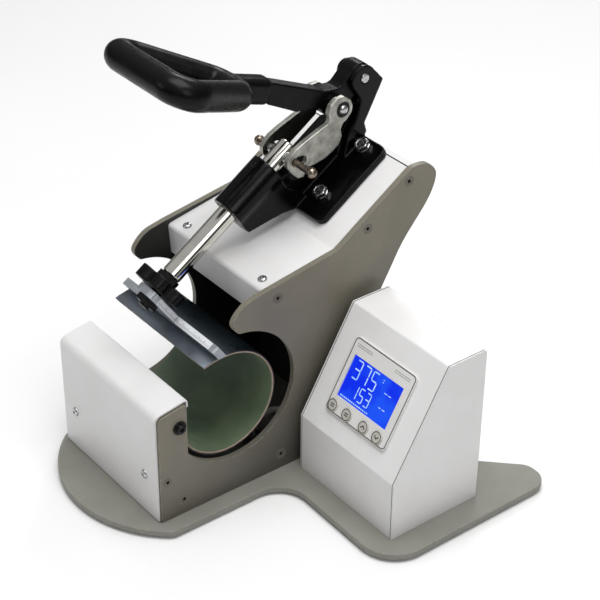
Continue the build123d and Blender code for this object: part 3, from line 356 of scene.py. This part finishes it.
PAINT = {
    "base_plate": GREY_BASE, "rubber_feet": RUBBER, "foot_screws": ZINC, "left_side_plate": GREY_L, "right_side_plate": GREY_R,
    "side_screws": SCREW, "frame_ties": ZINC, "front_cover": WHITE_FRONT, "cover_screws": ZINC, "wrap_anchor_bar": BARM,
    "wrap_anchor_bolts": OXIDE, "clamp_bridge": WHITE_BRIDGE, "rear_cover": WHITE_REAR, "wrap_band": BAND, "wrap_heater_mat": MATM,
    "wrap_liner": LINER, "heater_lead": LEADM, "lead_grommets": RUBBER, "clamp_base": CAST, "barrel_bush": BRONZE,
    "barrel_set_screw": OXIDE, "clamp_washers": ZINC, "clamp_bolts": ZINC, "clamp_nuts": ZINC, "handle_pivot_pin": ZINC,
    "control_cover": WHITE_BOX, "control_side_left": WHITE_SIDE_L, "control_side_right": WHITE_SIDE_R, "display_bezel": PANEL,
    "lcd_window": LCDM, "control_board": BOARD, "board_posts": NYLON, "relay_module": DARK, "mains_inlet": DARK,
    "power_switch_body": DARK, "fuse_holder": DARK, "handle_lever": LEVER, "handle_grip": GRIP, "link_pin": ZINC,
    "link_spacers": ZINC, "link_left": LINKF, "link_right": LINKM, "link_bushes": OXIDE, "plunger_rod": CHROME,
    "cross_pin": TINT, "pin_sleeves": ZINC, "adjuster_stud": ZINC, "adjuster_nuts": OXIDE, "thrust_bracket": BARM,
    "pressure_bar": BARM, "scale_strip": STRIP, "flap_band": BAND, "flap_heater_mat": MATM, "flap_liner": LINER,
    "pressure_knob": KNOB, "button_1": BUTTON, "button_2": BUTTON, "button_3": BUTTON, "button_4": BUTTON,
    "power_rocker": DARK,
}
for name, o in nodes.items():
    mt = PAINT[name]
    if o.material_slots:
        for s in o.material_slots:
            s.link = "OBJECT"
            s.material = mt
    else:
        o.data.materials.append(mt)


# ------------------------------------------------------------------ mesh helpers
def obj(name, bm_or_mesh, material, smooth=True):
    if isinstance(bm_or_mesh, bmesh.types.BMesh):
        me = bpy.data.meshes.new(name)
        bmesh.ops.recalc_face_normals(bm_or_mesh, faces=bm_or_mesh.faces)
        bm_or_mesh.to_mesh(me)
        bm_or_mesh.free()
    else:
        me = bm_or_mesh
    me.materials.clear()
    me.materials.append(material)
    if smooth:
        me.polygons.foreach_set("use_smooth", [True] * len(me.polygons))
    o = bpy.data.objects.new(name, me)
    bpy.context.scene.collection.objects.link(o)
    return o


def baked(o):
    """The object's mesh with its modifiers applied."""
    dg = bpy.context.evaluated_depsgraph_get()
    dg.update()
    me = bpy.data.meshes.new_from_object(o.evaluated_get(dg))
    o.modifiers.clear()
    o.data = me
    return o


def cast_from(name, sources, material, voxel, rounds, factor=0.5, tail=None):
    """A rounded, slightly uneven casting grown over the CAD solids: voxel skin, then smoothed edges."""
    bm = bmesh.new()
    for s in sources:
        bm.from_mesh(nodes[s].data)
    o = obj(name, bm, material)
    rm = o.modifiers.new("skin", "REMESH")
    rm.mode = "VOXEL"
    rm.voxel_size = voxel
    sm = o.modifiers.new("round", "SMOOTH")
    sm.factor = factor
    sm.iterations = rounds
    baked(o)
    if tail:
        tail(o.data)
    o.data.materials.clear()
    o.data.materials.append(material)
    o.data.polygons.foreach_set("use_smooth", [True] * len(o.data.polygons))
    return o


# ------------------------------------------------------------------ wrap: one flexible ring
def wrap_layer(name, r0, r1, half, material, a0=117.0, a1=-190.0, step=1.5):
    n = int(round((a0 - a1) / step))
    bm = bmesh.new()
    xs = [-half, -half * 0.5, 0.0, half * 0.5, half]
    rows = []
    for i in range(n + 1):
        a = a0 + (a1 - a0) * i / n
        # the free lip springs open a little, and the sheet is never a perfect circle
        flare = max(0.0, (a - 92.0) / 25.0) ** 2 * 1.3
        wob = 0.18 * math.sin(math.radians(a * 3.1)) + 0.10 * math.sin(math.radians(a * 7.3 + 40))
        ca, sa = math.cos(math.radians(a)), math.sin(math.radians(a))
        ring = []
        for r in (r1, r0):
            for x in (xs if r == r1 else reversed(xs)):
                rr = r + flare + wob * (1 if abs(x) < half else 0.7)
                ring.append(bm.verts.new(V(x, RING_Y + rr * ca, RING_Z + rr * sa)))
        rows.append(ring)
    m = len(rows[0])
    for i in range(n):
        for j in range(m):
            k = (j + 1) % m
            bm.faces.new((rows[i][j], rows[i][k], rows[i + 1][k], rows[i + 1][j]))
    bm.faces.new(rows[0])
    bm.faces.new(list(reversed(rows[-1])))
    o = obj(name, bm, material)
    bv = o.modifiers.new("edge", "BEVEL")
    bv.width = min(0.00025, (r1 - r0) / 1000 * 0.3)
    bv.segments = 2
    bv.limit_method = "ANGLE"
    bv.angle_limit = math.radians(50)
    baked(o)
    o.data.polygons.foreach_set("use_smooth", [True] * len(o.data.polygons))
    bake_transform(o)
    return o


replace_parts(wrap_layer("wrap_band_skin", 46.85, 47.3, 63.5, BAND), "wrap_band", "flap_band")
wrap_layer("wrap_bond_red", 46.35, 46.84, 63.5, REDLINE)
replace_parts(wrap_layer("wrap_mat_skin", 45.25, 46.34, 63.5, MATM), "wrap_heater_mat", "flap_heater_mat")
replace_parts(wrap_layer("wrap_liner_skin", 44.6, 45.24, 62.8, LINER), "wrap_liner", "flap_liner")

# ------------------------------------------------------------------ castings
c = cast_from("clamp_casting", ["clamp_base"], CAST, 0.0007, 7)
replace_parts(c, "clamp_base"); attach(c, "frame")
h = cast_from("lever_casting", ["handle_lever"], LEVER, 0.0007, 8)
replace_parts(h, "handle_lever"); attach(h, "handle")
g = cast_from("grip_moulding", ["handle_grip"], GRIP, 0.0009, 10)
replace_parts(g, "handle_grip"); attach(g, "handle")
k = cast_from("knob_moulding", ["pressure_knob"], KNOB, 0.0005, 6)
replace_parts(k, "pressure_knob"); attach(k, "knob")
for s in ("link_left", "link_right"):
    l = cast_from(s + "_stamping", [s], LINKF if s == "link_left" else LINKM, 0.00045, 4)
    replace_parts(l, s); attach(l, "links")


# ------------------------------------------------------------------ turned parts
def lathe(bm, origin, axis, profile, seg=72):
    """Solid of revolution: profile is (distance along the axis, radius) in millimetres."""
    axis = axis.normalized()
    a = axis.orthogonal().normalized()
    b = axis.cross(a)
    rings = []
    for (d, r) in profile:
        if r <= 0:
            rings.append([bm.verts.new(origin + axis * (d / 1000))])
        else:
            rings.append([bm.verts.new(origin + axis * (d / 1000) + (a * math.cos(2 * math.pi * i / seg) + b * math.sin(2 * math.pi * i / seg)) * (r / 1000))
                          for i in range(seg)])
    for p, q in zip(rings, rings[1:]):
        for i in range(seg):
            j = (i + 1) % seg
            if len(p) == 1:
                bm.faces.new((p[0], q[j], q[i]))
            elif len(q) == 1:
                bm.faces.new((p[i], p[j], q[0]))
            else:
                bm.faces.new((p[i], p[j], q[j], q[i]))


def crisp(o, angle=38):
    """Smooth shading that keeps the sharp corners of a turned part."""
    bpy.context.view_layer.update()
    me = o.data
    me.polygons.foreach_set("use_smooth", [True] * len(me.polygons))
    b2 = bmesh.new()
    b2.from_mesh(me)
    for e in b2.edges:
        e.smooth = not (len(e.link_faces) == 2 and e.calc_face_angle(0.0) > math.radians(angle))
    b2.to_mesh(me)
    b2.free()
    return o


DX = Vector((1, 0, 0))
DU = Vector((0, CS, SN))
DW = Vector((0, -SN, CS))


def turned(name, node, material, body, jobs):
    bm = bmesh.new()
    for (o, ax, prof) in jobs:
        lathe(bm, o, ax, prof)
    t = crisp(obj(name, bm, material))
    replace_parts(t, node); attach(t, body)
    return t


turned("plunger_rod_turned", "plunger_rod", CHROME, "plunger",
       [(UW(-102, 50), DU, [(0, 0), (0, 7.3), (0.3, 7.8), (1.2, 8.5), (1.6, 8.5), (2.2, 8.5), (70, 8.5), (140.8, 8.5), (141.4, 8.5), (141.8, 8.5), (142.7, 7.8), (143, 7.3), (143, 0)])])
ball = [(math.sqrt(max(0.0, 1 - (1 - 2 * i / 12) ** 2)), 1 - 2 * i / 12) for i in range(13)]
ballp = [(40.0 - 4.5 * math.cos(math.pi * i / 16), 4.5 * math.sin(math.pi * i / 16)) for i in range(17)]
turned("cross_pin_turned", "cross_pin", TINT, "plunger",
       [(UW(31, 50), DX, [(-28.9, 0), (-28.9, 3.0), (0, 3.0), (39.9, 3.0), (39.9, 0)]),
        (UW(31, 50), DX, [(d, r if 0 < i < 16 else 0) for i, (d, r) in enumerate(ballp)]),
        (UW(31, 50), DX, [(d - 69.0, r if 0 < i < 16 else 0) for i, (d, r) in enumerate(ballp)])])
turned("handle_pivot_turned", "handle_pivot_pin", ZINC, "frame",
       [(UW(121, 50), DX, [(-14.5, 0), (-14.5, 2.9), (-13.7, 4.0), (-13.2, 4.0), (13.2, 4.0), (13.7, 4.0), (14.2, 3.6), (14.5, 2.6), (14.3, 1.2), (14.2, 0)])])
turned("link_pin_turned", "link_pin", ZINC, "handle",
       [(UW(89, 50), DX, [(-21.5, 0), (-21.4, 1.6), (-20.9, 3.0), (-19.6, 4.0), (-19.1, 4.0), (19.1, 4.0), (19.6, 4.0), (20.9, 3.0), (21.4, 1.6), (21.5, 0)])])
turned("adjuster_stud_turned", "adjuster_stud", OXIDE, "plunger",
       [(UW(-134.5, 50), DU, [(0, 0), (0, 4.0), (1.0, 5.0)] + [(1.0 + 0.5 * i, 5.0 if i % 2 == 0 else 4.65) for i in range(1, 12)]
         + [(6.8, 5.0), (32.5, 5.0), (32.5, 0)])])
turned("anchor_bolts_turned", "wrap_anchor_bolts", OXIDE, "frame",
       [(V(s * 72.0, 21.4, 94.6), DX * s, [(-13.0, 0), (-13.0, 2.0), (-5.0, 2.0), (-5.0, 3.0), (0, 3.0), (0, 6.0), (1.1, 6.0), (1.5, 5.6), (1.5, 4.3),
                                          (3.2, 4.3), (3.8, 3.9), (4.0, 3.2), (4.0, 1.9), (2.6, 1.7), (2.6, 0)]) for s in (1, -1)])
HEAD = [(0, 4.0), (0.5, 3.95), (1.1, 3.6), (1.6, 2.9), (1.95, 2.1), (2.0, 1.45), (1.4, 1.35), (0.9, 1.3), (0.9, 0)]
TILT = math.atan2(197.3 - 183.3, 177.7 - 108.1)
LN = Vector((0, -math.sin(TILT), math.cos(TILT)))
turned("cover_screws_turned", "cover_screws", ZINC, "frame",
       [(V(s * 52, 0, 46.7), Vector((0, -1, 0)), [(-8.4, 0), (-8.4, 2.0), (0, 2.0)] + HEAD) for s in (1, -1)]
       + [(V(s * 52, 117.6, 183.3 + 9.5 * math.tan(TILT)), LN, [(-8.0, 0), (-8.0, 1.9), (0, 1.9)] + HEAD) for s in (1, -1)])
# dark cups in the side screw sockets: painted shade in the recesses
bm = bmesh.new()
for s in (1, -1):
    for (a, b) in ((8.7, 46.0), (23.8, 22.1), (121.0, 22.4), (117.8, 177.3), (208.0, 208.4), (250.2, 237.7)):
        lathe(bm, V(s * 71.0, a, b), DX * s, [(0, 0), (0, 1.42), (0.86, 1.42), (0.86, 1.30), (0.12, 1.20), (0.12, 0)], 24)
k = crisp(obj("side_screw_socket_shade", bm, SOCKET))
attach(k, "frame")


def hex_bolt(bm, c, axis, R, h, recess, seg=8):
    """Hexagon head with a turned chamfer and a shallow dished top; the round shank is drawn by the caller."""
    a = DX
    b = axis.cross(a)
    def ring(r_of, z_of):
        out = []
        for i in range(6 * seg):
            t = 2 * math.pi * i / (6 * seg)
            k6 = (t % (math.pi / 3)) - math.pi / 6
            rh = R * math.cos(math.pi / 6) / math.cos(k6)
            r = r_of(rh)
            out.append(bm.verts.new(c + (a * math.cos(t) + b * math.sin(t)) * (r / 1000) + axis * (z_of(rh) / 1000)))
        return out
    rc = R * 0.84
    rings = [ring(lambda rh: rh - 0.15, lambda rh: 0.0), ring(lambda rh: rh, lambda rh: 0.15),
             ring(lambda rh: rh, lambda rh: h - 0.15 - (rh - rc) * 0.55), ring(lambda rh: rc, lambda rh: h),
             ring(lambda rh: recess, lambda rh: h), ring(lambda rh: recess - 0.5, lambda rh: h - 0.5)]
    n = 6 * seg
    bm.faces.new(list(reversed(rings[0])))
    for p, q in zip(rings, rings[1:]):
        for i in range(n):
            j = (i + 1) % n
            bm.faces.new((p[i], p[j], q[j], q[i]))
    bm.faces.new(rings[-1])


bm = bmesh.new()
for x in (-21.0, 21.0):
    for u in (32.0, 84.0):
        hex_bolt(bm, UW(u, 7.5, x), DW, 6.5, 4.4, 4.2)
        lathe(bm, UW(u, -9.0, x), DW, [(0, 0), (0, 2.7), (0.5, 3.17), (16.45, 3.17), (16.45, 0)], 32)
k = crisp(obj("clamp_bolts_turned", bm, ZINC), 25)
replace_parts(k, "clamp_bolts"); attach(k, "frame")

# ------------------------------------------------------------------ scale strip ticks, and a white patch on the tab's right face that is a painted highlight
def plate_box(bm, centre, ax, ay, az, sx, sy, sz):
    """A thin raised mark: box on three axes with its top edges drawn in."""
    vs = []
    for dz, k in ((-0.5, 1.0), (0.5, 0.86)):
        for (i, j) in ((-0.5, -0.5), (0.5, -0.5), (0.5, 0.5), (-0.5, 0.5)):
            vs.append(bm.verts.new(centre + ax * (i * sx * k) + ay * (j * sy * k) + az * (dz * sz)))
    for f in ((0, 3, 2, 1), (4, 5, 6, 7), (0, 1, 5, 4), (1, 2, 6, 5), (2, 3, 7, 6), (3, 0, 4, 7)):
        bm.faces.new([vs[i] for i in f])


EX = Vector((1, 0, 0))
EU = Vector((0, CS, SN))
EW = Vector((0, -SN, CS))
RING_U = (73.4 - 177.7) * CS + (90.7 - 197.3) * SN
BU0, BU1 = RING_U + 19.0, RING_U + 25.6
bm = bmesh.new()
for i in range(30):
    long = 3.4 if i % 5 == 0 else 2.0
    plate_box(bm, UW(BU0 + 1.0 + long / 2, 23.53, 13.0 + i * 1.5), EX, EU, EW, 0.00036, long / 1000, 0.00008)
# ticks on the tab's white patch, which is a painted highlight
for i in range(18):
    long = 3.4 if i % 5 == 0 else 2.0
    plate_box(bm, UW(BU0 + 1.2 + long / 2, 24.8 + i * 1.5, 11.42), EW, EU, EX, 0.00036, long / 1000, 0.00008)
t = obj("scale_ticks", bm, TICK, smooth=False)
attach(t, "plunger")
# white patch on the tab's right face: painted highlight where the light falls on that face
bm = bmesh.new()
plate_box(bm, UW((BU0 + BU1) / 2, 37.6, 11.2), EW, EU, EX, 0.0282, 0.0060, 0.0004)
t = obj("tab_face_highlight_patch", bm, STRIP, smooth=False)
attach(t, "plunger")

# ------------------------------------------------------------------ display
ET = Vector((0, TY, TZ))
EN = Vector((0, -TZ, TY))


def segment(bm, x, tt, horizontal, length, width, n=1.06):
    """One pointed bar of a seven-segment figure."""
    w, l = width / 2, length / 2
    pts = [(-l, 0), (-l + w, w), (l - w, w), (l, 0), (l - w, -w), (-l + w, -w)]
    lo, up = [], []
    for (p, q) in pts:
        dx, dt = (p, q) if horizontal else (q, p)
        lo.append(bm.verts.new(PN(x + dx, tt + dt, n - 0.05)))
        up.append(bm.verts.new(PN(x + dx, tt + dt, n + 0.02)))
    bm.faces.new(up)
    bm.faces.new(list(reversed(lo)))
    for i in range(6):
        j = (i + 1) % 6
        bm.faces.new((lo[i], lo[j], up[j], up[i]))


SEG = {"0": "abcdef", "1": "bc", "2": "abged", "3": "abgcd", "4": "fgbc", "5": "afgcd", "6": "afgedc", "7": "abc", "8": "abcdefg", "9": "abcdfg"}


def figure(bm, ch, x, t0, h, wd):
    w = 0.42 * h
    hx, hy = w, h / 2
    pos = {"a": (0, h, True), "g": (0, hy, True), "d": (0, 0, True), "f": (-w / 2, h * 0.75, False), "b": (w / 2, h * 0.75, False),
           "e": (-w / 2, h * 0.25, False), "c": (w / 2, h * 0.25, False)}
    for s in SEG[ch]:
        dx, dt, hor = pos[s]
        segment(bm, x + dx, t0 + dt, hor, (hx if hor else hy) * 0.96, wd)


bm = bmesh.new()
for i, ch in enumerate("375"):
    figure(bm, ch, 117.4 + i * 10.0, 52.6, 15.2, 1.15)
for i, ch in enumerate("153"):
    figure(bm, ch, 124.2 + i * 7.6, 38.4, 11.4, 0.95)
for i in range(15):                                   # bar graph along the foot of the window
    segment(bm, 112.0 + i * 2.3, 35.2, True, 2.1, 1.2)
for (x, tt, l, wd) in ((153.6, 57.6, 4.0, 0.7), (158.4, 57.6, 3.4, 0.7), (153.8, 45.2, 3.0, 0.7), (158.2, 45.2, 3.6, 0.7),
                       (146.6, 66.0, 1.5, 0.7), (146.6, 64.0, 1.5, 0.7)):
    segment(bm, x, tt, True, l, wd)
d = obj("lcd_figures", bm, DIGIT, smooth=False)
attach(d, "frame")


def frame_line(bm, cx, ct, w, h, r, n0, n1, lw, seg=8):
    """Raised dark line round a rounded rectangle on the panel: painted shade along the edge groove of the bezel."""
    def loop(off, n):
        pts = []
        rr = max(r - off, 0.2)
        ww, hh = w / 2 - off, h / 2 - off
        for (sx, st, a0) in ((1, 1, 0), (-1, 1, 90), (-1, -1, 180), (1, -1, 270)):
            for i in range(seg + 1):
                a = math.radians(a0 + 90 * i / seg)
                pts.append(bm.verts.new(PN(cx + sx * (ww - rr) + rr * math.cos(a), ct + st * (hh - rr) + rr * math.sin(a), n)))
        return pts
    a, b, c, d = loop(0, n0), loop(0, n1), loop(lw, n1), loop(lw, n0)
    m = len(a)
    for i in range(m):
        j = (i + 1) % m
        bm.faces.new((a[i], a[j], b[j], b[i]))
        bm.faces.new((b[i], b[j], c[j], c[i]))
        bm.faces.new((c[i], c[j], d[j], d[i]))
        bm.faces.new((d[i], d[j], a[j], a[i]))


bm = bmesh.new()
# painted shade: dark line along the bezel's edge groove
frame_line(bm, 139.75, 51.3, 74.1 - 1.4, 66.2 - 1.4, 3.6, 1.95, 2.06, 0.8)
# two fine rules above the window
for off in (0.0, 1.7):
    plate_box(bm, PN(116.5, 79.0 - off, 2.02), EX, ET, EN, 0.0190, 0.00035, 0.00008)
    plate_box(bm, PN(162.0, 79.0 - off, 2.02), EX, ET, EN, 0.0190, 0.00035, 0.00008)
e = obj("panel_rules_and_edge_shade", bm, INK, smooth=False)
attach(e, "frame")


def ring_mark(bm, x, tt, r0, r1, n0, n1, seg=40):
    rows = []
    for i in range(seg):
        a = 2 * math.pi * i / seg
        rows.append([bm.verts.new(PN(x + r * math.cos(a), tt + r * math.sin(a), n)) for (r, n) in ((r1, n0), (r1, n1), (r0, n1), (r0, n0))])
    for i in range(seg):
        j = (i + 1) % seg
        for k in range(4):
            bm.faces.new((rows[i][k], rows[j][k], rows[j][(k + 1) % 4], rows[i][(k + 1) % 4]))


BX = (110.1, 127.5, 148.3, 164.9)
for i, x in enumerate(BX):
    bm = bmesh.new()
    ring_mark(bm, x, 24.7, 4.25, 4.95, 3.15, 3.24)
    if i < 2:                                       # two short plain bars
        for dt in (0.9, -0.9):
            plate_box(bm, PN(x, 24.7 + dt, 3.2), EX, ET, EN, 0.0046, 0.0010, 0.00008)
    else:                                           # up and down arrows
        s = 1 if i == 2 else -1
        for side in (1, -1):
            d1 = (EX * side * 0.72 - ET * s * 0.7).normalized()
            d2 = d1.cross(EN).normalized()
            plate_box(bm, PN(x + side * 1.05, 24.7 + s * 0.1, 3.2), d1, d2, EN, 0.0036, 0.0011, 0.00008)
    b = obj("button_%d_mark" % (i + 1), bm, INK, smooth=False)
    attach(b, "button_%d" % (i + 1))

# ------------------------------------------------------------------ stage
bm = bmesh.new()
N = 24
S = 4.0
rows = [[bm.verts.new((-S + 2 * S * i / N, -S + 2 * S * j / N, -0.0002)) for j in range(N + 1)] for i in range(N + 1)]
for i in range(N):
    for j in range(N):
        bm.faces.new((rows[i][j], rows[i + 1][j], rows[i + 1][j + 1], rows[i][j + 1]))
FLOOR = Mat("pale_floor")
FLOOR.link(FLOOR.mix(FLOOR.ramp(FLOOR.noise(3.0), 0, 1), (0.86, 0.86, 0.86), (0.88, 0.88, 0.88)), FLOOR.b.inputs["Base Color"])
FLOOR.b.inputs["Roughness"].default_value = 0.8
floor = obj("floor", bm, FLOOR.m)

world = bpy.data.worlds.new("studio")
world.use_nodes = True
bpy.context.scene.world = world
wt = world.node_tree
bg = wt.nodes["Background"]
tc = wt.nodes.new("ShaderNodeTexCoord")
sx = wt.nodes.new("ShaderNodeSeparateXYZ")
mr = wt.nodes.new("ShaderNodeMapRange")
mr.interpolation_type = "SMOOTHSTEP"
for k, v in (("From Min", 0.05), ("From Max", 0.75), ("To Min", 0.08), ("To Max", 0.46)):
    mr.inputs[k].default_value = v
wt.links.new(tc.outputs["Generated"], sx.inputs[0])
wt.links.new(sx.outputs["Z"], mr.inputs["Value"])
wt.links.new(mr.outputs[0], bg.inputs[1])
bg.inputs[0].default_value = (1.0, 1.0, 1.0, 1)


def area(name, loc, target, size, power, colour=(1, 1, 1)):
    l = bpy.data.lights.new(name, "AREA")
    l.shape = "RECTANGLE"
    l.size, l.size_y = size
    l.energy = power
    l.color = colour
    o = bpy.data.objects.new(name, l)
    o.location = loc
    o.rotation_euler = (Vector(target) - Vector(loc)).to_track_quat("-Z", "Y").to_euler()
    bpy.context.scene.collection.objects.link(o)
    return o


area("overhead", (0.15, 0.0, 2.0), (0, 0, 0), (1.3, 1.3), 31)
area("key", (1.7, -0.5, 1.3), (0, 0, 0.12), (0.8, 0.8), 5.6)
area("fill", (-1.0, -1.7, 0.9), (0, 0, 0.12), (0.8, 0.6), 2.0)
area("rim", (-1.2, 1.3, 1.4), (0, 0, 0.2), (0.6, 0.5), 8)

# ------------------------------------------------------------------ camera
cam = bpy.data.cameras.new("camera")
cam.lens = 103.08
cam.sensor_width = 36.0
cam.clip_start = 0.05
co = bpy.data.objects.new("camera", cam)
R0 = Vector((0.612228, 0.790646, 0.00746))
R1 = Vector((0.433201, -0.327522, -0.839682))
R2 = Vector((-0.661448, 0.517309, -0.543027))
K = 1.11
pos = Vector(((876.209 * K + X0) / 1000, (-508.679 * K + Y0) / 1000, (809.572 * K + 8.0) / 1000))
m = Matrix(((R0.x, -R1.x, -R2.x, pos.x), (R0.y, -R1.y, -R2.y, pos.y), (R0.z, -R1.z, -R2.z, pos.z), (0, 0, 0, 1)))
co.matrix_world = m
bpy.context.scene.collection.objects.link(co)
bpy.context.scene.camera = co

bpy.context.scene.view_settings.view_transform = "Standard"
bpy.context.scene.view_settings.look = "None"
